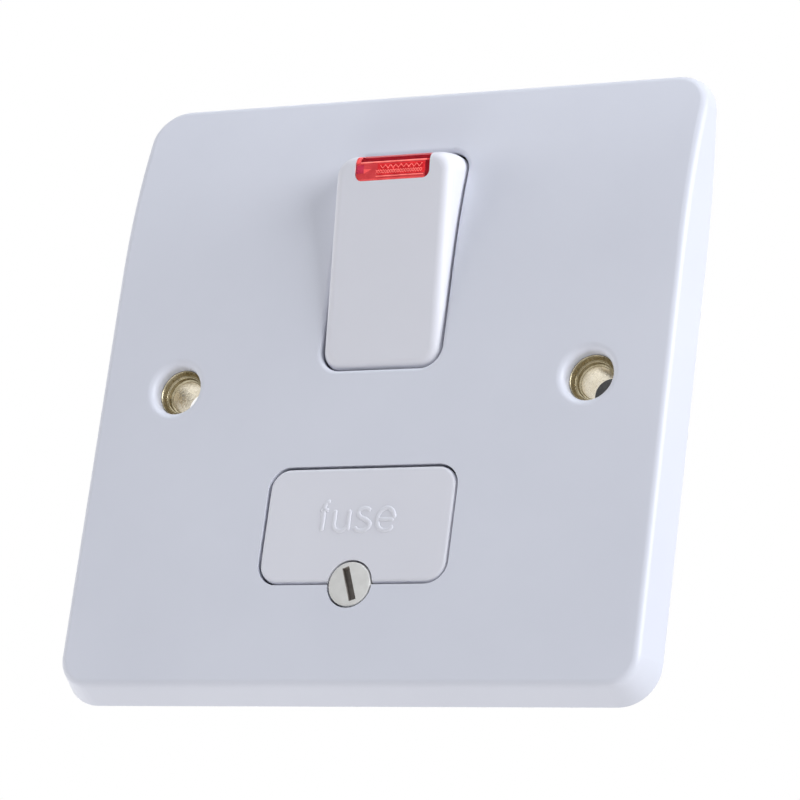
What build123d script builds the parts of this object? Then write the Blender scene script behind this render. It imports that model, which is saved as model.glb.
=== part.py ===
from build123d import *
import os
from math import atan, cos, degrees, radians, sin, sqrt

# Single-gang switched fused spur unit with a neon rocker and a screw-held fuse carrier.
# X runs to the right seen from the front, Z runs up, the front faces -Y and Y = 0 is the wall.

os.makedirs("parts", exist_ok=True)

# Face plate
plate_width = 86.0
plate_height = 86.0
plate_depth = 4.6
plate_corner = 5.5
edge_inset = 1.6
edge_round = 1.1
opening_round = 0.6
face_wall = 3.2
rim_width = 3.4
lean_start = 17.0
lean_setback = 3.7
pocket_corner = 3.0
pocket_margin = 1.5
rib_width = 4.0
rib_gap = 0.1

# Fixing eyelets
fixing_spacing = 60.3
eyelet_radius = 3.3
eyelet_bore = 2.2
eyelet_seat = 2.9
eyelet_setback = 1.9
eyelet_seat_depth = 1.2
eyelet_reach = 2.7
eyelet_flange = 4.3
eyelet_flange_thickness = 0.7
eyelet_gap = 0.05
hole_round = 1.1

# Rocker
rocker_z = 17.25
rocker_width = 17.2
rocker_end_radius = 15.66
rocker_corner = 2.7
rocker_stand = 1.9
rocker_tilt = 7.5
rocker_skirt = 2.2
rocker_wall = 1.6
rocker_face_wall = 2.0
rocker_edge_round = 1.4
rocker_gap = 0.28
trunnion_radius = 1.2
trunnion_length = 2.5
trunnion_play = 0.1
saddle_play = 0.05
saddle_width = 2.0
saddle_height = 6.4
saddle_inset = 0.6

# Neon in the rocker
lens_width = 11.0
lens_height = 3.25
lens_depth = 2.6
lens_corner = 1.0
lamp_radius = 1.7
lamp_length = 7.0
lamp_round = 0.8
lamp_inset = 3.1
lamp_gap = 0.2
lamp_rib_spacing = 4.4
lamp_rib_thickness = 0.9
lamp_rib_width = 2.0
lead_radius = 0.3
lead_bend = 0.45
lead_slot = 0.9
lead_gap = 0.05
resistor_radius = 1.0
resistor_length = 4.6
resistor_lead = 1.6

# Plungers and their springs
contact_x = 4.2
plunger_radius = 1.5
plunger_reach = 10.0
plunger_length = 9.6
plunger_play = 0.08
plunger_tube_wall = 1.0
plunger_tube_length = 7.6
plunger_tube_floor = 0.3
spring_wire = 0.22
spring_turns = 3
spring_sides = 6
spring_gap = 0.1
spring_end_gap = 0.05

# Contact arms and tips
arm_tilt = 4.0
arm_width = 4.0
arm_thickness = 1.0
arm_rise = 0.4
arm_top = 9.6
arm_tail = 6.6
arm_round = 1.0
knuckle_radius = 0.8
knuckle_length = 3.4
knuckle_play = 0.1
plunger_gap = 0.154
tip_reach = 7.5
tip_radius = 1.6
tip_thickness = 0.6
tip_bevel = 0.25
contact_gap = 0.2

# Conductors
bar_width = 4.4
bar_thickness = 0.8
bar_overhang = 0.6
fulcrum_width = 3.6
fulcrum_height = 3.2
line_jog_z = -3.5
terminal_width = 7.6
terminal_height = 8.0
terminal_length = 9.8
terminal_round = 0.6
wire_bore = 2.2
wire_setback = 6.2
clamp_radius = 1.65
clamp_play = 0.1
clamp_clear = 0.1
clamp_head = 2.8
clamp_head_play = 0.4
clamp_head_thickness = 1.7
clamp_head_lift = 0.3
clamp_slot = 0.9
clamp_slot_depth = 0.8
load_neutral_z = 3.0
load_line_z = -20.5

# Earth strap
strap_z = -5.0
strap_width = 5.2
strap_thickness = 0.8
strap_ear = 5.0
strap_root = 2.0
strap_gap = 0.2

# Fuse, clips and carrier
carrier_width = 27.0
carrier_height = 15.7
carrier_z = -19.81
carrier_corner = 2.8
carrier_gap = 0.3
carrier_edge_round = 0.5
cradle_spacing = 8.4
cradle_thickness = 1.6
cradle_wall = 1.2
cradle_wrap = 2.2
cradle_mouth = 2.7
cradle_play = 0.1
fuse_lift = 0.8
fuse_length = 25.4
fuse_barrel_radius = 2.95
fuse_cap_radius = 3.175
fuse_cap_length = 6.3
fuse_cap_end = 0.3
fuse_cap_bevel = 0.25
fuse_fit = 0.03
clip_x = 9.45
clip_thickness = 0.6
clip_play = 0.15
clip_rise = 2.0
clip_flare = 1.0

# Carrier screw
screw_z = -27.85
screw_head = 3.0
screw_head_thickness = 1.2
screw_head_round = 0.2
screw_shank = 1.45
screw_length = 16.1
screw_slot_length = 4.7
screw_slot_width = 1.0
screw_slot_depth = 0.8
screw_slot_angle = 19.5
screw_head_gap = 0.25
screw_seat_gap = 0.1
screw_shank_gap = 0.15
boss_radius = 3.05
boss_length = 6.3
retainer_radius = 2.5
retainer_thickness = 0.5
retainer_gap = 0.3
retainer_fit = 0.02
insert_radius = 2.6
insert_length = 6.0
insert_fit = 0.03
insert_play = 0.1
pillar_radius = 4.0
pillar_gap = 0.9

# Base moulding
base_wall = 1.5
base_inner_wall = 1.4
base_lip = 1.2
base_back_wall = 2.2
base_back_recess = 0.8
base_back_margin = 2.0
base_corner = 3.0
base_edge_round = 0.8
chamber_clear = 0.6
carrier_clear = 0.75
divider_z = -10.0
divider_wall = 1.2
terminal_fit = 0.1
slot_clear = 0.2
eyelet_relief = 0.4

# Assembly screws
assembly_top_z = 13.0
assembly_low_z = -12.6
post_radius = 2.7
post_length = 7.4
post_play = 0.15
post_end_gap = 0.2
assembly_shank = 1.25
assembly_play = 0.08
assembly_reach = 8.0
assembly_tip_gap = 0.5
assembly_head = 2.5
assembly_head_thickness = 1.8
assembly_head_play = 0.4
assembly_web = 2.8
assembly_slot = 0.8
assembly_slot_depth = 0.7

# How far cuts run past the faces that they open
overrun = 2.0

# Levels along Y, from the front of the plate to the back of the base
front_y = -plate_depth
face_back_y = front_y + face_wall
pivot_y = face_back_y + trunnion_radius + trunnion_play
rocker_face = pivot_y - front_y + rocker_stand
arm_axis_y = pivot_y + plunger_reach + plunger_gap + arm_thickness + arm_rise
closed_lift = (tip_reach + tip_radius) * sin(radians(arm_tilt))
closed_y = arm_axis_y + (tip_thickness - arm_rise) * cos(radians(arm_tilt)) + closed_lift
bar_y = closed_y + contact_gap + tip_thickness
floor_y = bar_y + bar_thickness
base_back_y = floor_y + base_back_wall
fuse_y = bar_y - clip_thickness - clip_play - fuse_cap_radius
wire_y = floor_y - wire_setback
terminal_front_y = floor_y - terminal_length
strap_back_y = face_back_y + strap_thickness
screw_seat_y = front_y + screw_head_thickness + screw_seat_gap
boss_back_y = screw_seat_y + boss_length
retainer_y = boss_back_y + retainer_gap
pillar_y = retainer_y + retainer_thickness + pillar_gap
post_back_y = face_back_y + post_length
assembly_seat_y = post_back_y + post_end_gap + assembly_web
pilot_depth = post_back_y - assembly_seat_y + assembly_reach + assembly_tip_gap

# Places across X and along Z
plate_half = plate_width / 2
plate_top = plate_height / 2
fixing_x = fixing_spacing / 2
chamber_half = carrier_width / 2 + carrier_gap + carrier_clear
bay_x = chamber_half + base_inner_wall
terminal_inner_x = bay_x + terminal_fit
terminal_x = terminal_inner_x + terminal_width / 2
base_half = terminal_inner_x + terminal_width + base_lip
chamber_top = rocker_z + rocker_end_radius + chamber_clear
chamber_bottom = screw_z - pillar_radius - chamber_clear
base_top = chamber_top + base_wall
base_bottom = chamber_bottom - base_wall
base_mid = (base_top + base_bottom) / 2
divider_low_z = divider_z - divider_wall
contact_z = rocker_z + tip_reach
fuse_z = carrier_z + fuse_lift
fulcrum_top = rocker_z + fulcrum_height / 2 + bar_overhang
screw_hole = screw_head + screw_head_gap
saddle_x = rocker_width / 2 + saddle_inset + saddle_width / 2
tube_radius = plunger_radius + plunger_play + plunger_tube_wall
tube_bore = plunger_radius + plunger_play
spring_outer = tube_bore - spring_gap
assembly_places = [
    (x, z) for x in (-terminal_x, terminal_x) for z in (assembly_top_z, assembly_low_z)
]
power_places = {
    "supply_line_terminal": (terminal_x, contact_z),
    "supply_neutral_terminal": (-terminal_x, contact_z),
    "load_neutral_terminal": (-terminal_x, load_neutral_z),
    "load_line_terminal": (-terminal_x, load_line_z),
}
earth_place = (terminal_x, strap_z)
terminal_places = [*power_places.values(), earth_place]

# The plate's sides slope in towards its face, which leans back on an arc from lean_start up
edge_slope = degrees(atan(edge_inset / plate_depth))
lean_rise = plate_top - lean_start
lean_radius = (lean_rise**2 + lean_setback**2) / (2 * lean_setback)
top_half = plate_half - lean_setback * edge_inset / plate_depth

# Depths in the rocker, measured from its axis towards its face
rocker_ceiling = rocker_face - rocker_face_wall
tube_end = rocker_ceiling - plunger_tube_floor
face_half = sqrt(rocker_end_radius**2 - rocker_face**2)
lens_back = rocker_face - lens_depth
lamp_up = face_half - lamp_inset
lamp_out = lens_back - lamp_gap - lamp_radius
resistor_up = lamp_up - resistor_lead

# Planes that the tilted pieces are drawn on, each with its normal towards the front
tilt = radians(rocker_tilt)
rocker_plane = Plane(
    origin=(0, pivot_y, rocker_z), x_dir=(1, 0, 0), z_dir=(0, -cos(tilt), -sin(tilt))
)
rocker_out = Axis(rocker_plane.origin, rocker_plane.z_dir)
lean = radians(arm_tilt)
arm_plane = Plane(
    origin=(0, arm_axis_y, rocker_z), x_dir=(1, 0, 0), z_dir=(0, -cos(lean), sin(lean))
)


# A front-view plane at a depth behind the wall plane
def view_plane(y):
    return Plane.XZ.offset(-y)


# A side-view plane through a point, with local axes along Y and Z
def side_plane(x, y, z):
    return Plane(origin=(x, y, z), x_dir=(0, 1, 0), z_dir=(1, 0, 0))


# The rocker's own side-view plane, with local axes along its face and out of it
def rocker_side(x):
    return Plane(
        origin=rocker_plane.from_local_coords((x, 0, 0)), x_dir=rocker_plane.y_dir, z_dir=(1, 0, 0)
    )


# A drum about the rocker's axis, with rounded rims
def make_drum(radius, width, corner):
    with BuildPart() as drum:
        with BuildSketch(side_plane(0, pivot_y, rocker_z)):
            Circle(radius)
        extrude(amount=width / 2, both=True)
        fillet(drum.edges().filter_by(GeomType.CIRCLE), corner)
    return drum.part


# The drum's slice between two planes parallel to the rocker's face
def make_slice(radius, width, corner, front, back):
    with BuildPart() as slice_of_drum:
        add(make_drum(radius, width, corner))
        split(bisect_by=rocker_plane.offset(front), keep=Keep.BOTTOM)
        split(bisect_by=rocker_plane.offset(back), keep=Keep.TOP)
    return slice_of_drum.part


# The rocker's outer form, with its front edges rounded
def make_rocker_form():
    with BuildPart() as form:
        add(make_slice(rocker_end_radius, rocker_width, rocker_corner, rocker_face, -rocker_skirt))
        fillet(form.faces().sort_by(rocker_out)[-1].edges(), rocker_edge_round)
    return form.part


# The block that the lens takes out of the rocker's top edge
def make_lens_block():
    with BuildPart() as block:
        with BuildSketch(rocker_plane.offset(lens_back)):
            with Locations((0, face_half - lens_height / 2 + overrun / 2)):
                Rectangle(lens_width, lens_height + overrun)
            fillet(vertices().group_by(Axis.Y)[0], lens_corner)
        extrude(amount=lens_depth + overrun)
    return block.part


rocker_form = make_rocker_form()
lens_block = make_lens_block()
opening_drum = make_drum(
    rocker_end_radius + rocker_gap, rocker_width + 2 * rocker_gap, rocker_corner + rocker_gap
)
rocker_hollow = make_slice(
    rocker_end_radius - rocker_wall,
    rocker_width - 2 * rocker_wall,
    rocker_corner - rocker_wall,
    rocker_ceiling,
    -rocker_skirt - overrun,
)

# Face plate: sloping sides, a flat lower part and a top that leans back
with BuildPart() as faceplate:
    with BuildSketch(Plane.XZ):
        with BuildLine():
            low_side = Polyline((0, -plate_top), (plate_half, -plate_top), (plate_half, lean_start))
            high_side = TangentArc(low_side @ 1, (top_half, plate_top), tangent=low_side % 1)
            Line(high_side @ 1, (0, plate_top))
            mirror(about=Plane.YZ)
        make_face()
        fillet(vertices().group_by(Axis.Y)[0] + vertices().group_by(Axis.Y)[-1], plate_corner)
    extrude(amount=plate_depth, taper=edge_slope)
    with BuildSketch(side_plane(0, front_y, lean_start)):
        with Locations((0, lean_rise)):
            Rectangle(2 * plate_depth, 2 * lean_rise)
        with Locations((lean_radius, 0)):
            Circle(lean_radius, mode=Mode.SUBTRACT)
    extrude(amount=plate_width, both=True, mode=Mode.SUBTRACT)
    flat_face = faces().filter_by(Axis.Y).sort_by(Axis.Y)[0]
    fillet(flat_face.edges().sort_by(Axis.Z)[:-1], edge_round)
    # Rear pocket
    pocket_top = base_top + pocket_margin
    pocket_low = rim_width - plate_top
    with BuildSketch(Plane.XZ):
        with Locations((0, (pocket_top + pocket_low) / 2)):
            RectangleRounded(plate_width - 2 * rim_width, pocket_top - pocket_low, pocket_corner)
    extrude(amount=-face_back_y, mode=Mode.SUBTRACT)
    # Posts for the assembly screws and ribs that hold the terminals down
    with BuildSketch(view_plane(post_back_y)):
        with Locations(*assembly_places):
            Circle(post_radius)
    extrude(amount=post_length)
    with BuildSketch(view_plane(post_back_y)):
        with Locations(*assembly_places):
            Circle(assembly_shank + assembly_play)
    extrude(amount=pilot_depth, mode=Mode.SUBTRACT)
    with BuildSketch(view_plane(terminal_front_y - rib_gap)):
        with Locations(*power_places.values()):
            Rectangle(rib_width, rib_width)
    extrude(amount=terminal_front_y - rib_gap - face_back_y)
    # Rocker opening with a rounded front edge
    add(opening_drum, mode=Mode.SUBTRACT)
    flat_face = faces().filter_by(Axis.Y).sort_by(Axis.Y)[0]
    lean_face = faces().filter_by(GeomType.CYLINDER).sort_by(SortBy.RADIUS)[-1]
    rocker_reach = rocker_end_radius + rocker_gap
    rocker_mouth = (flat_face.edges() + lean_face.edges()).filter_by_position(
        Axis.X, -rocker_width, rocker_width
    )
    rocker_mouth = rocker_mouth.filter_by_position(
        Axis.Z, rocker_z - rocker_reach, rocker_z + rocker_reach
    )
    fillet(rocker_mouth, opening_round)
    # Openings for the fuse carrier and its screw
    with BuildSketch(Plane.XZ):
        with Locations((0, carrier_z)):
            RectangleRounded(
                carrier_width + 2 * carrier_gap,
                carrier_height + 2 * carrier_gap,
                carrier_corner + carrier_gap,
            )
        with Locations((0, screw_z)):
            Circle(screw_hole)
    extrude(amount=plate_depth + overrun, mode=Mode.SUBTRACT)
    # Fixing holes with rounded mouths
    fixing_hole = eyelet_radius + eyelet_gap
    with BuildSketch(Plane.XZ):
        with Locations((-fixing_x, 0), (fixing_x, 0)):
            Circle(fixing_hole)
    extrude(amount=plate_depth, mode=Mode.SUBTRACT)
    front_circles = edges().filter_by(GeomType.CIRCLE).group_by(Axis.Y)[0]
    mouths = front_circles.filter_by(lambda edge: abs(edge.radius - fixing_hole) < eyelet_gap)
    fillet(mouths, hole_round)
faceplate.part.label = "faceplate"
export_step(faceplate.part, "parts/faceplate.step")

# Base moulding: switch and fuse chambers in the middle, terminal bays at both sides
with BuildPart() as base_moulding:
    with BuildSketch(view_plane(base_back_y)):
        with Locations((0, base_mid)):
            RectangleRounded(2 * base_half, base_top - base_bottom, base_corner)
    extrude(amount=base_back_y - face_back_y)
    fillet(faces().sort_by(Axis.Y)[-1].edges(), base_edge_round)
    with BuildSketch(view_plane(floor_y)):
        with Locations((0, (chamber_top + divider_z) / 2)):
            Rectangle(2 * chamber_half, chamber_top - divider_z)
        with Locations((0, (divider_low_z + chamber_bottom) / 2)):
            Rectangle(2 * chamber_half, divider_low_z - chamber_bottom)
        # Terminal bays, open at the front and at the side
        bay_width = base_half - bay_x + overrun
        for x, z in terminal_places:
            with Locations(((bay_x + bay_width / 2) * (1 if x > 0 else -1), z)):
                Rectangle(bay_width, terminal_height + 2 * terminal_fit)
        # Ways for the tongues and bars through the inner walls
        for side, z in ((1, contact_z), (-1, contact_z), (-1, load_neutral_z), (-1, fuse_z)):
            with Locations((side * (chamber_half + base_inner_wall / 2), z)):
                Rectangle(base_inner_wall, bar_width + 2 * slot_clear)
        with Locations((clip_x, divider_z - divider_wall / 2)):
            Rectangle(bar_width + 2 * slot_clear, divider_wall)
        # Hollow in the corner that holds no terminal
        hollow_top = assembly_low_z - post_radius - post_play - base_wall
        with Locations((terminal_x, (hollow_top + chamber_bottom) / 2)):
            Rectangle(terminal_width, hollow_top - chamber_bottom)
    extrude(amount=floor_y - face_back_y, mode=Mode.SUBTRACT)
    # Saddles for the rocker's trunnions
    with BuildSketch(view_plane(floor_y)):
        with Locations((-saddle_x, rocker_z), (saddle_x, rocker_z)):
            Rectangle(saddle_width, saddle_height)
    extrude(amount=floor_y - face_back_y)
    with BuildSketch(side_plane(0, pivot_y, rocker_z)):
        Circle(trunnion_radius + saddle_play)
        with Locations((-overrun, 0)):
            Rectangle(2 * overrun, 2 * (trunnion_radius + saddle_play))
    extrude(amount=saddle_x + saddle_width / 2, both=True, mode=Mode.SUBTRACT)
    # Pillar for the carrier screw's insert
    with BuildSketch(view_plane(floor_y)):
        with Locations((0, screw_z)):
            Circle(pillar_radius)
    extrude(amount=floor_y - pillar_y)
    with BuildSketch(view_plane(pillar_y + insert_length)):
        with Locations((0, screw_z)):
            Circle(insert_radius + insert_fit)
    extrude(amount=insert_length, mode=Mode.SUBTRACT)
    with BuildSketch(view_plane(floor_y)):
        with Locations((0, screw_z)):
            Circle(screw_shank + screw_shank_gap)
    extrude(amount=floor_y - pillar_y, mode=Mode.SUBTRACT)
    # Sockets, webs and head wells of the assembly screws
    with BuildSketch(view_plane(post_back_y + post_end_gap)):
        with Locations(*assembly_places):
            Circle(post_radius + post_play)
    extrude(amount=post_length + post_end_gap, mode=Mode.SUBTRACT)
    with BuildSketch(view_plane(assembly_seat_y)):
        with Locations(*assembly_places):
            Circle(assembly_shank + screw_shank_gap)
    extrude(amount=assembly_web, mode=Mode.SUBTRACT)
    with BuildSketch(view_plane(base_back_y)):
        with Locations(*assembly_places):
            Circle(assembly_head + assembly_head_play)
    extrude(amount=base_back_y - assembly_seat_y, mode=Mode.SUBTRACT)
    # Wells over the clamp screws, and the sunk middle of the back
    with BuildSketch(view_plane(base_back_y)):
        with Locations(*terminal_places):
            Circle(clamp_head + clamp_head_play)
    extrude(amount=base_back_wall, mode=Mode.SUBTRACT)
    with BuildSketch(view_plane(base_back_y)):
        with Locations((0, base_mid)):
            RectangleRounded(
                2 * (chamber_half - base_back_margin),
                base_top - base_bottom - 2 * (base_wall + base_back_margin),
                base_corner,
            )
    extrude(amount=base_back_recess, mode=Mode.SUBTRACT)
    # Channel for the earth strap, and room for the strap's ears and the box lugs
    with BuildSketch(view_plane(strap_back_y)):
        with Locations((0, strap_z)):
            Rectangle(2 * base_half, strap_width + 2 * strap_gap)
    extrude(amount=strap_thickness, mode=Mode.SUBTRACT)
    with BuildSketch(view_plane(base_back_y)):
        with Locations((-fixing_x, 0), (fixing_x, 0)):
            Circle(strap_ear + eyelet_relief)
    extrude(amount=base_back_y - face_back_y, mode=Mode.SUBTRACT)
base_moulding.part.label = "base_moulding"
export_step(base_moulding.part, "parts/base_moulding.step")

# Screws that hold the base to the plate
with BuildPart() as assembly_screws:
    with BuildSketch(view_plane(assembly_seat_y)):
        with Locations(*assembly_places):
            Circle(assembly_shank)
    extrude(amount=assembly_reach)
    with BuildSketch(view_plane(assembly_seat_y)):
        with Locations(*assembly_places):
            Circle(assembly_head)
    extrude(amount=-assembly_head_thickness)
    with BuildSketch(view_plane(assembly_seat_y + assembly_head_thickness)):
        with Locations(*assembly_places):
            Rectangle(2 * assembly_head, assembly_slot)
            Rectangle(assembly_slot, 2 * assembly_head)
    extrude(amount=assembly_slot_depth, mode=Mode.SUBTRACT)
assembly_screws.part.label = "assembly_screws"
export_step(assembly_screws.part, "parts/assembly_screws.step")

# Fixing eyelets: stepped brass tubes with a flange behind the earth strap
with BuildPart() as fixing_eyelets:
    eyelet_front_y = front_y + eyelet_setback
    eyelet_step_y = eyelet_front_y + eyelet_seat_depth
    with BuildSketch(view_plane(eyelet_reach)):
        with Locations((-fixing_x, 0), (fixing_x, 0)):
            Circle(eyelet_radius)
    extrude(amount=eyelet_reach - eyelet_front_y)
    with BuildSketch(view_plane(strap_back_y + eyelet_flange_thickness)):
        with Locations((-fixing_x, 0), (fixing_x, 0)):
            Circle(eyelet_flange)
    extrude(amount=eyelet_flange_thickness)
    with BuildSketch(view_plane(eyelet_reach)):
        with Locations((-fixing_x, 0), (fixing_x, 0)):
            Circle(eyelet_bore)
    extrude(amount=eyelet_reach - eyelet_front_y, mode=Mode.SUBTRACT)
    with BuildSketch(view_plane(eyelet_step_y)):
        with Locations((-fixing_x, 0), (fixing_x, 0)):
            Circle(eyelet_seat)
    extrude(amount=eyelet_seat_depth, mode=Mode.SUBTRACT)
fixing_eyelets.part.label = "fixing_eyelets"
export_step(fixing_eyelets.part, "parts/fixing_eyelets.step")

# Earth strap between the eyelets, flat on the back of the plate
with BuildPart() as earth_strap:
    with BuildSketch(view_plane(strap_back_y)):
        with Locations((0, strap_z)):
            Rectangle(2 * (base_half + strap_root), strap_width)
    extrude(amount=strap_thickness)
    for side in (-1, 1):
        with BuildSketch(view_plane(strap_back_y)):
            with Locations((side * fixing_x, 0)):
                Circle(strap_ear)
            with Locations((side * (base_half + strap_root / 2), strap_z)):
                Rectangle(strap_root, strap_width)
            make_hull()
        extrude(amount=strap_thickness)
    with BuildSketch(view_plane(strap_back_y)):
        with Locations((-fixing_x, 0), (fixing_x, 0)):
            Circle(eyelet_radius + eyelet_gap)
    extrude(amount=strap_thickness, mode=Mode.SUBTRACT)
earth_strap.part.label = "earth_strap"
export_step(earth_strap.part, "parts/earth_strap.step")

# Terminals: brass blocks with a wire bore from the side and a clamp screw from the back
tongue_ends = {
    "supply_line_terminal": (contact_x, contact_z),
    "supply_neutral_terminal": (contact_x, contact_z),
    "load_line_terminal": (clip_x, fuse_z),
}
for name, (x, z) in {**power_places, "earth_terminal": earth_place}.items():
    side = 1 if x > 0 else -1
    block_front_y = strap_back_y if name == "earth_terminal" else terminal_front_y
    with BuildPart() as terminal:
        with BuildSketch(view_plane(floor_y)):
            with Locations((x, z)):
                RectangleRounded(terminal_width, terminal_height, terminal_round)
        extrude(amount=floor_y - block_front_y)
        if name in tongue_ends:
            end_x, tongue_z = tongue_ends[name]
            tongue_start = end_x - bar_width / 2
            with BuildSketch(view_plane(floor_y)):
                with Locations((side * (tongue_start + terminal_x) / 2, tongue_z)):
                    Rectangle(terminal_x - tongue_start, bar_width)
            extrude(amount=bar_thickness)
        with BuildSketch(side_plane(x, wire_y, z)):
            Circle(wire_bore)
        extrude(amount=terminal_width, both=True, mode=Mode.SUBTRACT)
        with BuildSketch(view_plane(floor_y)):
            with Locations((x, z)):
                Circle(clamp_radius + clamp_play)
        extrude(amount=wire_setback, mode=Mode.SUBTRACT)
    terminal.part.label = name
    export_step(terminal.part, f"parts/{name}.step")

# Clamp screws, backed out so that the wire bores are open
with BuildPart() as terminal_screws:
    clamp_head_y = floor_y + clamp_head_lift
    with BuildSketch(view_plane(clamp_head_y)):
        with Locations(*terminal_places):
            Circle(clamp_radius)
    extrude(amount=clamp_head_y - wire_y - wire_bore - clamp_clear)
    with BuildSketch(view_plane(clamp_head_y)):
        with Locations(*terminal_places):
            Circle(clamp_head)
    extrude(amount=-clamp_head_thickness)
    with BuildSketch(view_plane(clamp_head_y + clamp_head_thickness)):
        with Locations(*terminal_places):
            Rectangle(2 * clamp_head, clamp_slot)
    extrude(amount=clamp_slot_depth, mode=Mode.SUBTRACT)
terminal_screws.part.label = "terminal_screws"
export_step(terminal_screws.part, "parts/terminal_screws.step")

# Line bar: from the line arm's fulcrum to the fuse clip
with BuildPart() as line_bar:
    jog_top = line_jog_z + bar_width / 2
    with BuildSketch(view_plane(floor_y)):
        with Locations((contact_x, (fulcrum_top + jog_top - bar_width) / 2)):
            Rectangle(bar_width, fulcrum_top - jog_top + bar_width)
        with Locations(((contact_x + clip_x) / 2, line_jog_z)):
            Rectangle(clip_x - contact_x + bar_width, bar_width)
        clip_foot = fuse_z - fuse_cap_radius - clip_play - clip_thickness
        with Locations((clip_x, (jog_top + clip_foot) / 2)):
            Rectangle(bar_width, jog_top - clip_foot)
    extrude(amount=bar_thickness)
    with BuildSketch(view_plane(bar_y)):
        with Locations((contact_x, rocker_z)):
            Rectangle(fulcrum_width, fulcrum_height)
    extrude(amount=bar_y - arm_axis_y)
    with BuildSketch(side_plane(contact_x, arm_axis_y, rocker_z)):
        Circle(knuckle_radius + knuckle_play)
    extrude(amount=fulcrum_width, both=True, mode=Mode.SUBTRACT)
line_bar.part.label = "line_bar"
export_step(line_bar.part, "parts/line_bar.step")

# Neutral bar: from the neutral arm's fulcrum to the load terminal
with BuildPart() as neutral_bar:
    neutral_low = load_neutral_z - bar_width / 2
    neutral_end = contact_x - bar_width / 2
    with BuildSketch(view_plane(floor_y)):
        with Locations((-contact_x, (fulcrum_top + neutral_low) / 2)):
            Rectangle(bar_width, fulcrum_top - neutral_low)
        with Locations((-(terminal_inner_x + neutral_end) / 2, load_neutral_z)):
            Rectangle(terminal_inner_x - neutral_end, bar_width)
    extrude(amount=bar_thickness)
    with BuildSketch(view_plane(bar_y)):
        with Locations((-contact_x, rocker_z)):
            Rectangle(fulcrum_width, fulcrum_height)
    extrude(amount=bar_y - arm_axis_y)
    with BuildSketch(side_plane(-contact_x, arm_axis_y, rocker_z)):
        Circle(knuckle_radius + knuckle_play)
    extrude(amount=fulcrum_width, both=True, mode=Mode.SUBTRACT)
neutral_bar.part.label = "neutral_bar"
export_step(neutral_bar.part, "parts/neutral_bar.step")

# Fixed contact tips on the supply tongues
with BuildPart() as fixed_contacts:
    with BuildSketch(view_plane(bar_y)):
        with Locations((-contact_x, contact_z), (contact_x, contact_z)):
            Circle(tip_radius)
    extrude(amount=tip_thickness)
    chamfer(faces().group_by(Axis.Y)[0].edges(), tip_bevel)
fixed_contacts.part.label = "fixed_contacts"
export_step(fixed_contacts.part, "parts/fixed_contacts.step")

# See-saw contact arms, each with a knuckle in its fulcrum and a moving tip
for name, x in (("line", contact_x), ("neutral", -contact_x)):
    with BuildPart() as contact_arm:
        with BuildSketch(arm_plane.offset(arm_rise)):
            with Locations((x, (arm_top - arm_tail) / 2)):
                RectangleRounded(arm_width, arm_top + arm_tail, arm_round)
        extrude(amount=arm_thickness)
        with BuildSketch(side_plane(x, arm_axis_y, rocker_z)):
            Circle(knuckle_radius)
        extrude(amount=knuckle_length / 2, both=True)
    contact_arm.part.label = f"{name}_contact_arm"
    export_step(contact_arm.part, f"parts/{name}_contact_arm.step")

    with BuildPart() as contact_tip:
        with BuildSketch(arm_plane.offset(arm_rise)):
            with Locations((x, tip_reach)):
                Circle(tip_radius)
        extrude(amount=-tip_thickness)
        chamfer(faces().sort_by(Axis.Y)[-1].edges(), tip_bevel)
    contact_tip.part.label = f"{name}_contact_tip"
    export_step(contact_tip.part, f"parts/{name}_contact_tip.step")

# Rocker: a hollow slice of a drum with trunnions, plunger tubes and a seat for the lens
with BuildPart() as rocker:
    add(rocker_form)
    add(rocker_hollow, mode=Mode.SUBTRACT)
    for side in (-1, 1):
        with BuildSketch(side_plane(side * (rocker_width / 2 - rocker_wall), pivot_y, rocker_z)):
            Circle(trunnion_radius)
        extrude(amount=side * (rocker_wall + trunnion_length))
    with BuildSketch(rocker_plane.offset(rocker_ceiling)):
        with Locations((-contact_x, 0), (contact_x, 0)):
            Circle(tube_radius)
    extrude(amount=-plunger_tube_length)
    with BuildSketch(rocker_plane.offset(tube_end)):
        with Locations((-contact_x, 0), (contact_x, 0)):
            Circle(tube_bore)
    extrude(amount=-plunger_tube_length, mode=Mode.SUBTRACT)
    with BuildSketch(rocker_plane.offset(lamp_out + lead_slot / 2)):
        with Locations((-contact_x, tube_radius / 2), (contact_x, tube_radius / 2)):
            Rectangle(lead_slot, tube_radius)
    extrude(amount=-plunger_tube_length, mode=Mode.SUBTRACT)
    # Ribs beside the lamp
    for side in (-1, 1):
        with BuildSketch(rocker_side(side * lamp_rib_spacing / 2)):
            rib_up = lamp_up - lamp_radius - lead_gap
            with Locations((rib_up, (lamp_out + rocker_ceiling) / 2)):
                Rectangle(lamp_rib_width, rocker_ceiling - lamp_out)
            with Locations((lamp_up, lamp_out)):
                Circle(lamp_radius + lead_gap, mode=Mode.SUBTRACT)
        extrude(amount=lamp_rib_thickness / 2, both=True)
    add(lens_block, mode=Mode.SUBTRACT)
rocker.part.label = "rocker"
export_step(rocker.part, "parts/rocker.step")

# Red lens in the top edge of the rocker
with BuildPart() as neon_lens:
    add(rocker_form)
    add(lens_block, mode=Mode.INTERSECT)
neon_lens.part.label = "neon_lens"
export_step(neon_lens.part, "parts/neon_lens.step")

# Neon lamp behind the lens
with BuildPart() as neon_lamp:
    with BuildSketch(rocker_side(0)):
        with Locations((lamp_up, lamp_out)):
            Circle(lamp_radius)
    extrude(amount=lamp_length / 2, both=True)
    fillet(edges().filter_by(GeomType.CIRCLE), lamp_round)
neon_lamp.part.label = "neon_lamp"
export_step(neon_lamp.part, "parts/neon_lamp.step")

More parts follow.
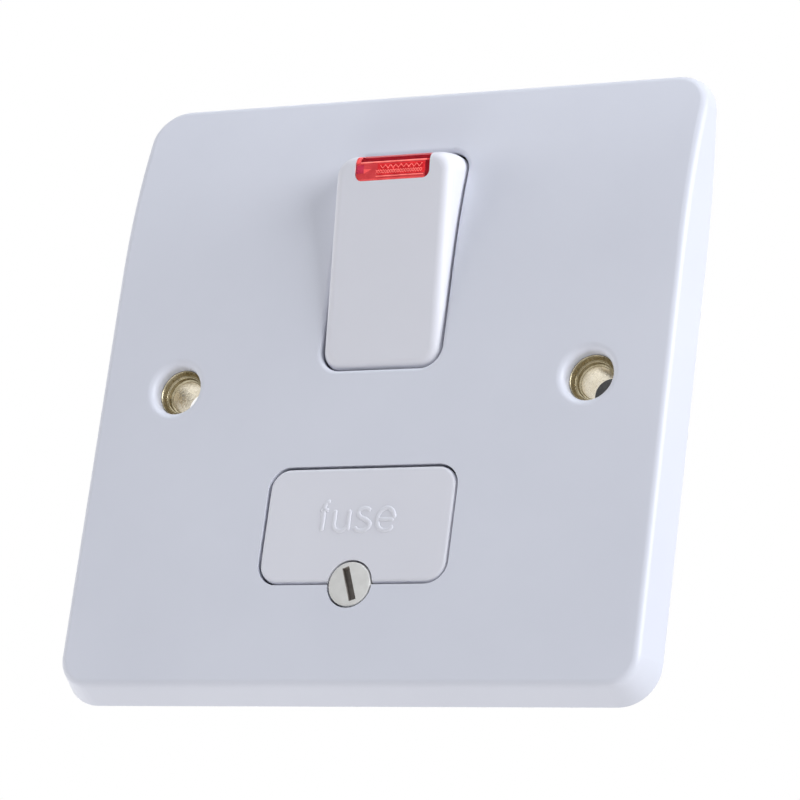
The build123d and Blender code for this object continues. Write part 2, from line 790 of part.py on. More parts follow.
# Series resistor between the lamp and the line plunger's spring
with BuildPart() as neon_resistor:
    resistor_top = rocker_plane.from_local_coords((contact_x, resistor_up, lamp_out))
    with BuildSketch(Plane(resistor_top, z_dir=rocker_plane.y_dir)):
        Circle(resistor_radius)
    extrude(amount=-resistor_length)
neon_resistor.part.label = "neon_resistor"
export_step(neon_resistor.part, "parts/neon_resistor.step")

# Leads from the lamp to the plunger springs
with BuildPart() as neon_leads:
    for side, lead_low in ((1, resistor_up), (-1, spring_outer + lead_gap)):
        lead_points = [
            rocker_plane.from_local_coords((side * lamp_length / 2, lamp_up, lamp_out)),
            rocker_plane.from_local_coords((side * contact_x, lamp_up, lamp_out)),
            rocker_plane.from_local_coords((side * contact_x, lead_low, lamp_out)),
        ]
        with BuildLine() as lead_path:
            FilletPolyline(*lead_points, radius=lead_bend)
        with BuildSketch(Plane(lead_points[0], z_dir=(side, 0, 0))):
            Circle(lead_radius)
        sweep(path=lead_path.line)
    lead_end = rocker_plane.from_local_coords((contact_x, spring_outer + lead_gap, lamp_out))
    with BuildSketch(Plane(lead_end, z_dir=rocker_plane.y_dir)):
        Circle(lead_radius)
    extrude(amount=resistor_up - resistor_length - spring_outer - lead_gap)
neon_leads.part.label = "neon_leads"
export_step(neon_leads.part, "parts/neon_leads.step")

# Sprung plungers that ride over the contact arms
with BuildPart(rocker_plane.offset(plunger_radius - plunger_reach)) as contact_plungers:
    with Locations((-contact_x, 0), (contact_x, 0)):
        Sphere(plunger_radius)
        Cylinder(
            plunger_radius,
            plunger_length - plunger_radius,
            align=(Align.CENTER, Align.CENTER, Align.MIN),
        )
contact_plungers.part.label = "contact_plungers"
export_step(contact_plungers.part, "parts/contact_plungers.step")

# Springs between the plungers and the ends of their tubes
with BuildPart() as plunger_springs:
    coil_radius = spring_outer - spring_wire
    coil_low = plunger_length - plunger_reach + spring_wire + spring_end_gap
    coil_height = tube_end - spring_wire - spring_end_gap - coil_low
    for side in (-1, 1):
        coil_start = rocker_plane.from_local_coords((side * contact_x, 0, coil_low))
        with BuildLine() as coil:
            Helix(
                coil_height / spring_turns,
                coil_height,
                coil_radius,
                center=coil_start,
                direction=rocker_plane.z_dir,
            )
        with BuildSketch(Plane(coil.line @ 0, z_dir=coil.line % 0)):
            RegularPolygon(spring_wire, spring_sides)
        sweep(path=coil.line, is_frenet=True)
plunger_springs.part.label = "plunger_springs"
export_step(plunger_springs.part, "parts/plunger_springs.step")

# Fuse carrier: a flush cover, two cradles for the fuse and the boss of the captive screw
with BuildPart() as fuse_carrier:
    with BuildSketch(view_plane(face_back_y)):
        with Locations((0, carrier_z)):
            RectangleRounded(carrier_width, carrier_height, carrier_corner)
    extrude(amount=face_wall)
    fillet(faces().sort_by(Axis.Y)[0].edges(), carrier_edge_round)
    with BuildSketch(view_plane(screw_seat_y)):
        with Locations((0, screw_z)):
            Circle(screw_hole)
    extrude(amount=screw_seat_y - front_y, mode=Mode.SUBTRACT)
    with BuildSketch(view_plane(boss_back_y)):
        with Locations((0, screw_z)):
            Circle(boss_radius)
    extrude(amount=boss_length)
    with BuildSketch(view_plane(boss_back_y)):
        with Locations((0, screw_z)):
            Circle(screw_shank + screw_shank_gap)
    extrude(amount=boss_length, mode=Mode.SUBTRACT)
    cradle_half = fuse_barrel_radius + cradle_play + cradle_wall
    cradle_back_y = fuse_y + cradle_wrap
    for side in (-1, 1):
        with BuildSketch(side_plane(side * cradle_spacing / 2, 0, fuse_z)):
            with Locations(((face_back_y + cradle_back_y) / 2, 0)):
                Rectangle(cradle_back_y - face_back_y, 2 * cradle_half)
            with Locations((fuse_y, 0)):
                Circle(fuse_barrel_radius + cradle_play, mode=Mode.SUBTRACT)
            with Locations((fuse_y + cradle_wrap, 0)):
                Rectangle(2 * cradle_wrap, 2 * cradle_mouth, mode=Mode.SUBTRACT)
        extrude(amount=cradle_thickness / 2, both=True)
fuse_carrier.part.label = "fuse_carrier"
export_step(fuse_carrier.part, "parts/fuse_carrier.step")

# Cartridge fuse: a ceramic barrel with two metal caps
with BuildPart() as fuse_barrel:
    with BuildSketch(side_plane(0, fuse_y, fuse_z)):
        Circle(fuse_barrel_radius)
    extrude(amount=fuse_length / 2 - fuse_cap_end - fuse_fit, both=True)
fuse_barrel.part.label = "fuse_barrel"
export_step(fuse_barrel.part, "parts/fuse_barrel.step")

with BuildPart() as fuse_end_caps:
    for side in (-1, 1):
        with BuildSketch(side_plane(side * fuse_length / 2, fuse_y, fuse_z)):
            Circle(fuse_cap_radius)
        extrude(amount=-side * fuse_cap_length)
    chamfer(edges().group_by(Axis.X)[0] + edges().group_by(Axis.X)[-1], fuse_cap_bevel)
    with BuildSketch(side_plane(0, fuse_y, fuse_z)):
        Circle(fuse_barrel_radius + fuse_fit)
    extrude(amount=fuse_length / 2 - fuse_cap_end, both=True, mode=Mode.SUBTRACT)
fuse_end_caps.part.label = "fuse_end_caps"
export_step(fuse_end_caps.part, "parts/fuse_end_caps.step")

# Spring clips that grip the fuse caps from behind
clip_half = fuse_cap_radius + clip_play
clip_outer = clip_half + clip_thickness
clip_front_y = fuse_y - clip_rise
for name, x in (("fuse_clip_line", clip_x), ("fuse_clip_load", -clip_x)):
    with BuildPart() as fuse_clip:
        with BuildSketch(side_plane(x, 0, fuse_z)):
            with Locations(((clip_front_y + bar_y) / 2, 0)):
                Rectangle(bar_y - clip_front_y, 2 * clip_outer)
            with Locations(((clip_front_y + bar_y) / 2 - clip_thickness, 0)):
                Rectangle(bar_y - clip_front_y, 2 * clip_half, mode=Mode.SUBTRACT)
            for side in (-1, 1):
                Polygon(
                    (clip_front_y, side * clip_half),
                    (clip_front_y, side * clip_outer),
                    (clip_front_y - clip_flare, side * (clip_outer + clip_flare)),
                    (clip_front_y - clip_flare, side * (clip_half + clip_flare)),
                    align=None,
                )
        extrude(amount=bar_width / 2, both=True)
    fuse_clip.part.label = name
    export_step(fuse_clip.part, f"parts/{name}.step")

# Captive screw of the carrier, with a slot that stops short of the rim
with BuildPart() as carrier_screw:
    with BuildSketch(view_plane(front_y + screw_head_thickness)):
        with Locations((0, screw_z)):
            Circle(screw_head)
    extrude(amount=screw_head_thickness)
    fillet(faces().sort_by(Axis.Y)[0].edges(), screw_head_round)
    with BuildSketch(view_plane(front_y + screw_length)):
        with Locations((0, screw_z)):
            Circle(screw_shank)
    extrude(amount=screw_length - screw_head_thickness)
    with BuildSketch(view_plane(front_y + screw_slot_depth)):
        with Locations(Location((0, screw_z, 0), (0, 0, screw_slot_angle))):
            Rectangle(screw_slot_width, screw_slot_length)
    extrude(amount=screw_slot_depth, mode=Mode.SUBTRACT)
carrier_screw.part.label = "carrier_screw"
export_step(carrier_screw.part, "parts/carrier_screw.step")

# Washer that keeps the screw in the carrier
with BuildPart() as screw_retainer:
    with BuildSketch(view_plane(retainer_y + retainer_thickness)):
        with Locations((0, screw_z)):
            Circle(retainer_radius)
            Circle(screw_shank + retainer_fit, mode=Mode.SUBTRACT)
    extrude(amount=retainer_thickness)
screw_retainer.part.label = "screw_retainer"
export_step(screw_retainer.part, "parts/screw_retainer.step")

# Brass insert in the base that takes the screw
with BuildPart() as thread_insert:
    with BuildSketch(view_plane(pillar_y + insert_length)):
        with Locations((0, screw_z)):
            Circle(insert_radius)
            Circle(screw_shank + insert_play, mode=Mode.SUBTRACT)
    extrude(amount=insert_length)
thread_insert.part.label = "thread_insert"
export_step(thread_insert.part, "parts/thread_insert.step")
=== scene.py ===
import math

import bmesh
import bpy
from mathutils import Matrix, Vector


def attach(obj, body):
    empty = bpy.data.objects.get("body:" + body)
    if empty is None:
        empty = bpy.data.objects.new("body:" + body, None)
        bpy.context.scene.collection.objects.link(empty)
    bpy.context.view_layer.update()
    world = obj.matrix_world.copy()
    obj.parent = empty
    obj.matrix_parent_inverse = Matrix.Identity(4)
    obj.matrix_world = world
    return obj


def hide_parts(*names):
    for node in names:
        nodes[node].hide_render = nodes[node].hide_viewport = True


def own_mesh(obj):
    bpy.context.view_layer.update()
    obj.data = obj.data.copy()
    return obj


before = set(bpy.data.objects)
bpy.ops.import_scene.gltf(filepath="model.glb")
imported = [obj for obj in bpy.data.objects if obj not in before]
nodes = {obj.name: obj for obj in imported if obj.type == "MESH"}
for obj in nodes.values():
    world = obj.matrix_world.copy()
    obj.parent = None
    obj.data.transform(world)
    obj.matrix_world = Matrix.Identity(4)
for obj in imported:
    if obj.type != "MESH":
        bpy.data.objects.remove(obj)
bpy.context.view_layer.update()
mm = 0.001
print("frame loaded with", len(nodes), "nodes")

# material helpers: every finish is a Principled shader fed by noise in the object's own space
nodeGrid = {"perRow": 6, "across": 220, "down": -340}
noiseSpan = (0.3, 0.7)     # where most noise values lie
noiseKinds = {             # detail and roughness
    "cloud": (4, 0.55),
    "haze": (3, 0.55),
    "fine": (2, 0.55),
    "peel": (2, 0.4),
    "patch": (5, 0.65),
    "stain": (4, 0.7),
    "speck": (3, 0.6),
    "toolLine": (2, 0.5),
}


def startFinish(name):
    mat = bpy.data.materials.new(name)
    mat.use_nodes = True
    return mat, mat.node_tree, mat.node_tree.nodes["Principled BSDF"]


def setInputs(tree, node, inputs):
    for key, value in inputs.items():
        if isinstance(value, bpy.types.NodeSocket):
            tree.links.new(value, node.inputs[key])
        else:
            node.inputs[key].default_value = value


def addNode(tree, kind, inputs=None):
    row, column = divmod(len(tree.nodes), nodeGrid["perRow"])
    node = tree.nodes.new(kind)
    node.location = (column * nodeGrid["across"], row * nodeGrid["down"])
    setInputs(tree, node, inputs or {})
    return node


def objectSpace(tree, stretch=(1, 1, 1)):
    coords = addNode(tree, "ShaderNodeTexCoord")
    look = {"Vector": coords.outputs["Object"], "Scale": stretch}
    return addNode(tree, "ShaderNodeMapping", look).outputs[0]


def grain(tree, space, kind, scale):
    detail, roughness = noiseKinds[kind]
    look = {"Vector": space, "Scale": scale, "Detail": detail, "Roughness": roughness}
    return addNode(tree, "ShaderNodeTexNoise", look).outputs[0]


def shadeBetween(tree, value, low, high, span=noiseSpan):
    ramp = addNode(tree, "ShaderNodeValToRGB", {"Fac": value})
    for end, place, colour in zip(ramp.color_ramp.elements, span, (low, high)):
        end.position = place
        end.color = (*colour, 1)
    return ramp.outputs[0]


def spread(tree, value, low, high):
    start, end = noiseSpan
    look = {"Value": value, "From Min": start, "From Max": end, "To Min": low, "To Max": high}
    return addNode(tree, "ShaderNodeMapRange", look).outputs[0]


def bumpOn(tree, height, strength, depth, under=None):
    look = {"Height": height, "Strength": strength, "Distance": depth}
    if under is not None:
        look["Normal"] = under
    return addNode(tree, "ShaderNodeBump", look).outputs[0]


# moulded plastics
mouldingBase = {"cloudScale": 38, "bump": 0.5}
whiteMoulding = {
    **mouldingBase,
    "name": "whiteMoulding",
    "low": (0.7, 0.712, 0.785),
    "high": (0.735, 0.747, 0.82),
    "roughness": (0.35, 0.45),
    "peelScale": 420,      # soft orange peel of a gloss moulding
    "peelDepth": 0.000012,
    "grainScale": 5200,
    "grainDepth": 0.0000015,
    "ior": 1.5,
}
fittingMoulding = {        # a shade warmer than the plate
    **whiteMoulding,
    "name": "fittingMoulding",
    "low": (0.748, 0.746, 0.802),
    "high": (0.783, 0.781, 0.837),
    "roughness": (0.44, 0.54),
}
housingMoulding = {
    **mouldingBase,
    "name": "housingMoulding",
    "low": (0.009, 0.009, 0.01),
    "high": (0.018, 0.018, 0.02),
    "roughness": (0.5, 0.68),
    "peelScale": 300,
    "peelDepth": 0.00002,
    "grainScale": 2600,    # spark-eroded tool texture
    "grainDepth": 0.00002,
    "ior": 1.34,
}
plungerMoulding = {
    **mouldingBase,
    "name": "plungerMoulding",
    "low": (0.68, 0.64, 0.54),
    "high": (0.76, 0.73, 0.64),
    "roughness": (0.4, 0.52),
    "peelScale": 700,
    "peelDepth": 0.000008,
    "grainScale": 4000,
    "grainDepth": 0.000003,
    "ior": 1.45,
}


def mouldedPlastic(look):
    mat, tree, shader = startFinish(look["name"])
    space = objectSpace(tree)
    cloud = grain(tree, space, "cloud", look["cloudScale"])
    peel = grain(tree, space, "peel", look["peelScale"])
    fine = grain(tree, space, "fine", look["grainScale"])
    soft = bumpOn(tree, peel, look["bump"], look["peelDepth"])
    setInputs(tree, shader, {
        "Base Color": shadeBetween(tree, cloud, look["low"], look["high"]),
        "Roughness": spread(tree, fine, *look["roughness"]),
        "Normal": bumpOn(tree, fine, look["bump"], look["grainDepth"], soft),
        "IOR": look["ior"],
    })
    return mat


# metals
metalBase = {
    "patchScale": 320,
    "stainScale": 900,
    "stainSpan": (0.56, 0.72),
    "stretch": (1, 1, 1),  # small along the tool lines
    "bump": 0.6,
    "metallic": 1.0,
    "paintedGlow": 0,
}
eyeletBrass = {
    **metalBase,
    "name": "eyeletBrass",
    "low": (0.25, 0.207, 0.116),
    "high": (0.55, 0.49, 0.352),
    "stain": (0.172, 0.138, 0.077),
    "roughness": (0.2, 0.4),
    "lineScale": 5200,     # tool lines round the bore
    "lineDepth": 0.000012,
    "stretch": (0.04, 1, 0.04),
    "speckScale": 2600,
    "speckDepth": 0.000008,
}
paintedLightBoreBrass = {              # rough cast bore wall, given paler colours than the eyelet brass and a faint emission: painted light down the bore
    **metalBase,
    "name": "paintedLightBoreBrass",
    "low": (0.7, 0.62, 0.46),
    "high": (0.88, 0.82, 0.685),
    "stain": (0.385, 0.315, 0.21),
    "stainScale": 3600,
    "roughness": (0.2, 0.42),
    "lineScale": 1400,
    "lineDepth": 0.00001,
    "speckScale": 2700,
    "speckDepth": 0.00011,
    "metallic": 0.75,
    # painted light: the bore wall gives off a little light of its own
    "paintedGlow": 0.07,
}
pressedBrass = {
    **metalBase,
    "name": "pressedBrass",
    "low": (0.56, 0.39, 0.15),
    "high": (0.74, 0.55, 0.26),
    "stain": (0.33, 0.22, 0.09),
    "roughness": (0.2, 0.38),
    "lineScale": 900,
    "lineDepth": 0.000003,
    "stretch": (1, 1, 0.06),
    "speckScale": 1500,
    "speckDepth": 0.000006,
}
platedSteel = {
    **metalBase,
    "name": "platedSteel",
    "low": (0.5, 0.5, 0.49),
    "high": (0.68, 0.68, 0.66),
    "stain": (0.34, 0.33, 0.3),
    "roughness": (0.24, 0.42),
    "lineScale": 2500,
    "lineDepth": 0.000003,
    "stretch": (1, 0.1, 1),
    "speckScale": 2200,
    "speckDepth": 0.000005,
}
contactSilver = {
    **metalBase,
    "name": "contactSilver",
    "low": (0.7, 0.69, 0.66),
    "high": (0.86, 0.85, 0.83),
    "stain": (0.42, 0.4, 0.36),
    "roughness": (0.18, 0.34),
    "lineScale": 3000,
    "lineDepth": 0.000003,
    "speckScale": 2400,
    "speckDepth": 0.000006,
}
fuseCapMetal = {
    **metalBase,
    "name": "fuseCapMetal",
    "low": (0.58, 0.57, 0.54),
    "high": (0.74, 0.73, 0.7),
    "stain": (0.4, 0.38, 0.34),
    "roughness": (0.16, 0.3),
    "lineScale": 1800,
    "lineDepth": 0.000002,
    "stretch": (0.1, 1, 1),
    "speckScale": 1200,
    "speckDepth": 0.000004,
}
leadWire = {
    **metalBase,
    "name": "leadWire",
    "low": (0.55, 0.54, 0.52),
    "high": (0.7, 0.69, 0.67),
    "stain": (0.4, 0.38, 0.34),
    "roughness": (0.25, 0.4),
    "lineScale": 1500,
    "lineDepth": 0.000002,
    "speckScale": 3000,
    "speckDepth": 0.000004,
}


def wornMetal(look):
    mat, tree, shader = startFinish(look["name"])
    space = objectSpace(tree)
    patches = grain(tree, space, "patch", look["patchScale"])
    stains = grain(tree, space, "stain", look["stainScale"])
    specks = grain(tree, space, "speck", look["speckScale"])
    lines = grain(tree, objectSpace(tree, look["stretch"]), "toolLine", look["lineScale"])
    mixed = addNode(tree, "ShaderNodeMix")
    mixed.data_type = "RGBA"
    setInputs(tree, mixed, {
        "Factor": shadeBetween(tree, stains, (0, 0, 0), (1, 1, 1), look["stainSpan"]),
        "A": shadeBetween(tree, patches, look["low"], look["high"]),
        "B": (*look["stain"], 1),
    })
    turned = bumpOn(tree, lines, look["bump"], look["lineDepth"])
    setInputs(tree, shader, {
        "Base Color": mixed.outputs["Result"],
        "Roughness": spread(tree, specks, *look["roughness"]),
        "Normal": bumpOn(tree, specks, look["bump"], look["speckDepth"], turned),
        "Metallic": look["metallic"],
        # painted light: emission in the finish's high colour, zero unless the finish has painted
        # light
        "Emission Color": (*look["high"], 1),
        "Emission Strength": look["paintedGlow"],
    })
    return mat


# paint, dark slots (worn metal with painted shade), ceramic and lacquer
coatBase = {"cloudSize": 6, "bump": 0.6}    # clouds six times as wide as the grain
screwPaint = {
    **coatBase,
    "name": "screwPaint",
    "low": (0.68, 0.67, 0.64),
    "high": (0.77, 0.76, 0.73),
    "roughness": (0.38, 0.52),
    "grainScale": 3200,
    "grainDepth": 0.000008,
}
# dark slot finish: bare worn metal in the slot, darkened further as painted shade in the recess
slotMetalWornAndShaded = {
    **coatBase,
    "name": "slotMetalWornAndShaded",
    "low": (0.16, 0.143, 0.128),
    "high": (0.41, 0.37, 0.335),
    "roughness": (0.45, 0.65),
    "grainScale": 2400,
    "grainDepth": 0.00002,
}
fuseCeramic = {
    **coatBase,
    "name": "fuseCeramic",
    "low": (0.74, 0.71, 0.63),
    "high": (0.82, 0.8, 0.73),
    "roughness": (0.5, 0.7),
    "grainScale": 2600,
    "grainDepth": 0.000012,
}
resistorCoat = {
    **coatBase,
    "name": "resistorCoat",
    "low": (0.46, 0.33, 0.2),
    "high": (0.56, 0.43, 0.28),
    "roughness": (0.3, 0.45),
    "grainScale": 1800,
    "grainDepth": 0.000006,
}


def coatedFinish(look):
    mat, tree, shader = startFinish(look["name"])
    space = objectSpace(tree)
    cloud = grain(tree, space, "cloud", look["grainScale"] / look["cloudSize"])
    fine = grain(tree, space, "haze", look["grainScale"])
    setInputs(tree, shader, {
        "Base Color": shadeBetween(tree, cloud, look["low"], look["high"]),
        "Roughness": spread(tree, fine, *look["roughness"]),
        "Normal": bumpOn(tree, fine, look["bump"], look["grainDepth"]),
    })
    return mat


# clear red of the lens, and the relief that is seen through it, coloured by zone with painted light
# and shade
clearLens = {
    "name": "clearRed",
    "low": (0.96, 0.48, 0.48),
    "high": (1.0, 0.5, 0.5),
    "grainScale": 900,
    "grainDepth": 0.000002,
    "bump": 0.4,
    "roughness": 0.04,
    "ior": 1.02,
    "clear": 1.0,
}
# zones of the relief: coral is the lens's ground red; pale is painted highlight, rose is painted
# light, and deep, crimson and plum are painted shade
prismReds = {
    "cloudScale": 900,
    "roughness": (0.2, 0.35),
    # no gloss on crimson, so its painted shade stays dark
    "gloss": {"crimson": 0.0},
    "otherGloss": 0.15,
    "paintedGlow": {"pale": 0.09},    # painted highlight: emission on the pale prism edges
    "zones": {
        "coral": ((0.37, 0.057, 0.067), (0.43, 0.08, 0.086)),
        "deep": ((0.42, 0.026, 0.036), (0.55, 0.04, 0.05)),
        "pale": ((0.76, 0.3, 0.27), (0.86, 0.45, 0.4)),
        "crimson": ((0.165, 0.013, 0.022), (0.22, 0.019, 0.03)),
        "plum": ((0.34, 0.042, 0.1), (0.43, 0.06, 0.13)),
        "rose": ((0.56, 0.115, 0.12), (0.65, 0.15, 0.15)),
    },
}
lampGlass = {
    "name": "lampGlass",
    "low": (0.9, 0.74, 0.66),
    "high": (0.98, 0.86, 0.8),
    "cloudScale": 500,
    "roughness": (0.03, 0.08),
    "clear": 0.9,
}


def clearPlastic(look):
    mat, tree, shader = startFinish(look["name"])
    fine = grain(tree, objectSpace(tree), "fine", look["grainScale"])
    setInputs(tree, shader, {
        "Base Color": shadeBetween(tree, fine, look["low"], look["high"]),
        "Normal": bumpOn(tree, fine, look["bump"], look["grainDepth"]),
        "Roughness": look["roughness"],
        "IOR": look["ior"],
        "Transmission Weight": look["clear"],
    })
    return mat


def prismPlastic(look, zone):
    mat, tree, shader = startFinish("prism" + zone.capitalize())
    cloud = grain(tree, objectSpace(tree), "haze", look["cloudScale"])
    low, high = look["zones"][zone]
    setInputs(tree, shader, {
        "Base Color": shadeBetween(tree, cloud, low, high),
        "Roughness": spread(tree, cloud, *look["roughness"]),
        "Specular IOR Level": look["gloss"].get(zone, look["otherGloss"]),
        # painted highlight: emission for the zones that have it
        "Emission Color": (*high, 1),
        "Emission Strength": look["paintedGlow"].get(zone, 0),
    })
    return mat


def clearGlass(look):
    mat, tree, shader = startFinish(look["name"])
    cloud = grain(tree, objectSpace(tree), "haze", look["cloudScale"])
    setInputs(tree, shader, {
        "Base Color": shadeBetween(tree, cloud, look["low"], look["high"]),
        "Roughness": spread(tree, cloud, *look["roughness"]),
        "Transmission Weight": look["clear"],
    })
    return mat


white = mouldedPlastic(whiteMoulding)
fittingWhite = mouldedPlastic(fittingMoulding)
housing = mouldedPlastic(housingMoulding)
plungerPlastic = mouldedPlastic(plungerMoulding)
eyeletMetal = wornMetal(eyeletBrass)
paintedLightBoreMetal = wornMetal(paintedLightBoreBrass)
brass = wornMetal(pressedBrass)
steel = wornMetal(platedSteel)
silver = wornMetal(contactSilver)
capMetal = wornMetal(fuseCapMetal)
wireMetal = wornMetal(leadWire)
paint = coatedFinish(screwPaint)
slotDarkWornAndShaded = coatedFinish(slotMetalWornAndShaded)
ceramic = coatedFinish(fuseCeramic)
resistorFinish = coatedFinish(resistorCoat)
lensClear = clearPlastic(clearLens)
prismFinishes = {zone: prismPlastic(prismReds, zone) for zone in prismReds["zones"]}
glass = clearGlass(lampGlass)

finishes = {
    white: ["faceplate"],
    fittingWhite: ["rocker", "fuse_carrier"],
    housing: ["base_moulding"],
    plungerPlastic: ["contact_plungers"],
    eyeletMetal: ["fixing_eyelets"],
    brass: [
        "earth_strap", "earth_terminal", "supply_line_terminal", "supply_neutral_terminal",
        "load_neutral_terminal", "load_line_terminal", "line_bar", "neutral_bar", "fuse_clip_line",
        "fuse_clip_load", "thread_insert", "line_contact_arm", "neutral_contact_arm",
    ],
    steel: ["assembly_screws", "terminal_screws", "plunger_springs", "screw_retainer"],
    silver: ["fixed_contacts", "line_contact_tip", "neutral_contact_tip"],
    capMetal: ["fuse_end_caps"],
    wireMetal: ["neon_leads"],
    paint: ["carrier_screw"],
    ceramic: ["fuse_barrel"],
    resistorFinish: ["neon_resistor"],
    lensClear: ["neon_lens"],
    glass: ["neon_lamp"],
}
for finish, names in finishes.items():
    for name in names:
        for materialSlot in nodes[name].material_slots:
            materialSlot.material = finish
print("finishes set")

# mesh helpers
crispAngle = 32            # edges that turn further than this, in degrees, stay crisp


def shadeSmooth(bm, angle):
    for face in bm.faces:
        face.smooth = True
    for edge in bm.edges:
        crisp = len(edge.link_faces) == 2 and edge.calc_face_angle(0) > math.radians(angle)
        edge.smooth = not crisp


def finishMesh(bm, name, body, materials, angle=crispAngle):
    bmesh.ops.recalc_face_normals(bm, faces=bm.faces)
    shadeSmooth(bm, angle)
    mesh = bpy.data.meshes.new(name)
    bm.to_mesh(mesh)
    bm.free()
    for material in materials:
        mesh.materials.append(material)
    piece = bpy.data.objects.new(name, mesh)
    bpy.context.scene.collection.objects.link(piece)
    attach(piece, body)
    return piece


def gridFaces(bm, rows, closeAcross=False, closeAlong=False):
    countAcross = len(rows[0])
    for i in range(len(rows) if closeAlong else len(rows) - 1):
        lower, upper = rows[i], rows[(i + 1) % len(rows)]
        for j in range(countAcross if closeAcross else countAcross - 1):
            k = (j + 1) % countAcross
            corners = list(dict.fromkeys((lower[j], lower[k], upper[k], upper[j])))
            if len(corners) > 2:
                bm.faces.new(corners)


def turnedRows(bm, centre, profile, segments):
    # profile: (radius, y) in mm, or (radius function of angle, y)
    rows = []
    for radius, y in profile:
        if radius == 0:
            tip = bm.verts.new(Vector((centre[0], y, centre[1])) * mm)
            rows.append([tip] * segments)
            continue
        row = []
        for j in range(segments):
            angle = 2 * math.pi * j / segments
            reach = radius(angle) if callable(radius) else radius
            x = centre[0] + reach * math.cos(angle)
            z = centre[1] + reach * math.sin(angle)
            row.append(bm.verts.new(Vector((x, y, z)) * mm))
        rows.append(row)
    return rows


# brass eyelets: stepped turned tubes with broken edges
eyelets = {
    "x": 30.15,
    "segments": 96,
    "boreRadius": 2.26,    # faces inside this are the bore's wall, which takes the painted-light bore finish
    "profile": [
        (3.3, -2.52), (3.28, -2.57), (3.22, -2.59), (3.17, -2.55),      # front rim
        (3.08, -2.36), (2.97, -2.12), (2.88, -1.9), (2.83, -1.78),      # cone inside it
        (2.79, -1.75), (2.73, -1.78), (2.66, -1.79), (2.59, -1.75),     # first step
        (2.55, -1.66), (2.53, -1.5), (2.52, -1.32), (2.48, -1.24),
        (2.4, -1.2), (2.3, -1.17), (2.23, -1.1), (2.2, -0.98),          # second step
        (2.2, 3.4), (2.24, 3.53), (2.36, 3.6),                          # bore and back end
        (3.14, 3.6), (3.26, 3.54), (3.3, 3.42),
        (3.3, 0.1), (4.2, 0.1), (4.3, 0.0),                             # flange
        (4.3, -0.5), (4.22, -0.6), (3.3, -0.6),
    ],
}


def makeEyelets():
    look = eyelets
    bm = bmesh.new()
    for side in (-1, 1):
        rows = turnedRows(bm, (side * look["x"], 0), look["profile"], look["segments"])
        gridFaces(bm, rows, closeAcross=True, closeAlong=True)
    piece = finishMesh(bm, "turnedEyelets", "unit", [eyeletMetal, paintedLightBoreMetal])
    # bore wall faces take the painted-light bore finish, the rest keep the eyelet brass
    for face in piece.data.polygons:
        middle = face.center / mm
        reach = math.hypot(abs(middle.x) - look["x"], middle.z)
        face.material_index = 1 if reach < look["boreRadius"] else 0
    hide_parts("fixing_eyelets")


makeEyelets()
print("eyelets made")

# screws: turned head, slot, and a cut thread that stays inside the plain shank
threadCut = {"stepsPerTurn": 8, "endDepth": 0.15}


def screwProfile(look):
    steps, pitch = threadCut["stepsPerTurn"], look["pitch"]
    start, end = look["threadFrom"], look["threadTo"]
    direction = 1 if end > start else -1
    count = int(abs(end - start) / pitch * steps)
    thread = []
    for i in range(count + 1):
        y = start + direction * i * pitch / steps
        fade = min(1, i / steps, (count - i) / steps + threadCut["endDepth"])

        def radius(angle, y=y, fade=fade):
            phase = (y / pitch + angle / (2 * math.pi)) % 1
            return look["crest"] - (look["crest"] - look["root"]) * fade * (1 - abs(2 * phase - 1))

        thread.append((radius, y))
    return look["head"] + thread + look["tip"]


def addSlotBox(bm, look, place, angle):
    front = look["head"][0][1]
    turn = Matrix.Rotation(math.radians(angle), 4, "Y")
    move = Matrix.Translation(Vector((place[0], front, place[1])) * mm)
    depth = 2 * look["slotDepth"]    # half of the box stands in front of the head
    size = Matrix.Diagonal((look["slotWidth"] * mm, depth * mm, look["slotLength"] * mm, 1))
    bmesh.ops.create_cube(bm, size=1, matrix=move @ turn @ size)


def cutSlots(piece, cutterBm):
    cutterMesh = bpy.data.meshes.new("slotCutter")
    cutterBm.to_mesh(cutterMesh)
    cutterBm.free()
    cutter = bpy.data.objects.new("slotCutter", cutterMesh)
    bpy.context.scene.collection.objects.link(cutter)
    boolean = piece.modifiers.new("slot", "BOOLEAN")
    boolean.object = cutter
    boolean.solver = "EXACT"
    graph = bpy.context.evaluated_depsgraph_get()
    cut = bpy.data.meshes.new_from_object(piece.evaluated_get(graph))
    piece.modifiers.clear()
    old = piece.data
    piece.data = cut
    bpy.data.meshes.remove(old)
    bpy.data.objects.remove(cutter)
    bpy.data.meshes.remove(cutterMesh)


def shadeCut(piece):
    bm = bmesh.new()
    bm.from_mesh(piece.data)
    shadeSmooth(bm, crispAngle)
    bm.to_mesh(piece.data)
    bm.free()


carrierScrew = {
    "centre": (0, -27.85),
    "segments": 64,
    "head": [
        (0, -4.6), (2.5, -4.6), (2.8, -4.595), (2.9, -4.57), (2.97, -4.5), (3.0, -4.4),
        (3.0, -3.48), (2.94, -3.4), (1.5, -3.4), (1.45, -3.34), (1.45, 4.6),
    ],
    "headBack": -3.3,      # bare steel behind this, paint in front
    "crest": 1.45, "root": 1.18, "pitch": 0.5, "threadFrom": 4.7, "threadTo": 11.2,
    "tip": [(1.1, 11.35), (0.9, 11.5), (0, 11.5)],
    "slotWidth": 1.0, "slotLength": 4.7, "slotDepth": 0.9, "slotAngle": -19.5,
    "darkFrom": 0.05, "darkTo": 1.0, "darkReach": 2.6,    # dark slot faces: worn bare metal, darkened further as painted shade
}


